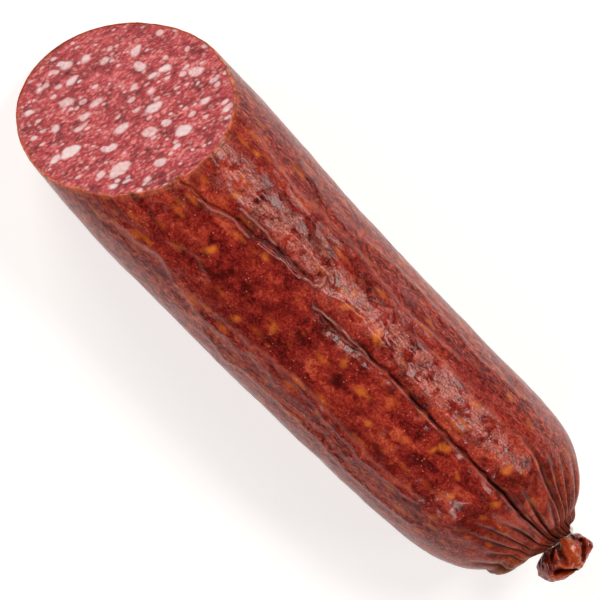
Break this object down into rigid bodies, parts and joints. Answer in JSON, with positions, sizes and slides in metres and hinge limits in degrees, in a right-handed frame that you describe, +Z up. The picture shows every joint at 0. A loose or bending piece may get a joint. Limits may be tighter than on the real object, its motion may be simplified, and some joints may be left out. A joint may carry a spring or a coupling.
{
  "type": "cured sausage with a cut end",
  "caption": "Thick cured sausage lying on its side, cut across at a slant at one end, its casing gathered under a wire clip at the other.",
  "frame": {"origin": "on the surface the sausage lies on, under the middle of its bounding box", "axes": "+X along the sausage from the cut end to the clipped end, +Z up, +Y to the side that the centre line bows towards at both ends"},
  "size_m": [0.2191, 0.0638, 0.0618],
  "materials": {
    "casing": "thin translucent casing, dark reddish brown, glossy and slightly wrinkled, with orange fat showing through",
    "meat": "freshly cut cured meat, pinkish red with pale pink fat, slightly moist",
    "clip_wire": "bright drawn wire"
  },
  "bodies": {
    "root": {"sausage": "casing", "clip": "clip_wire"}
  },
  "joints": []
}
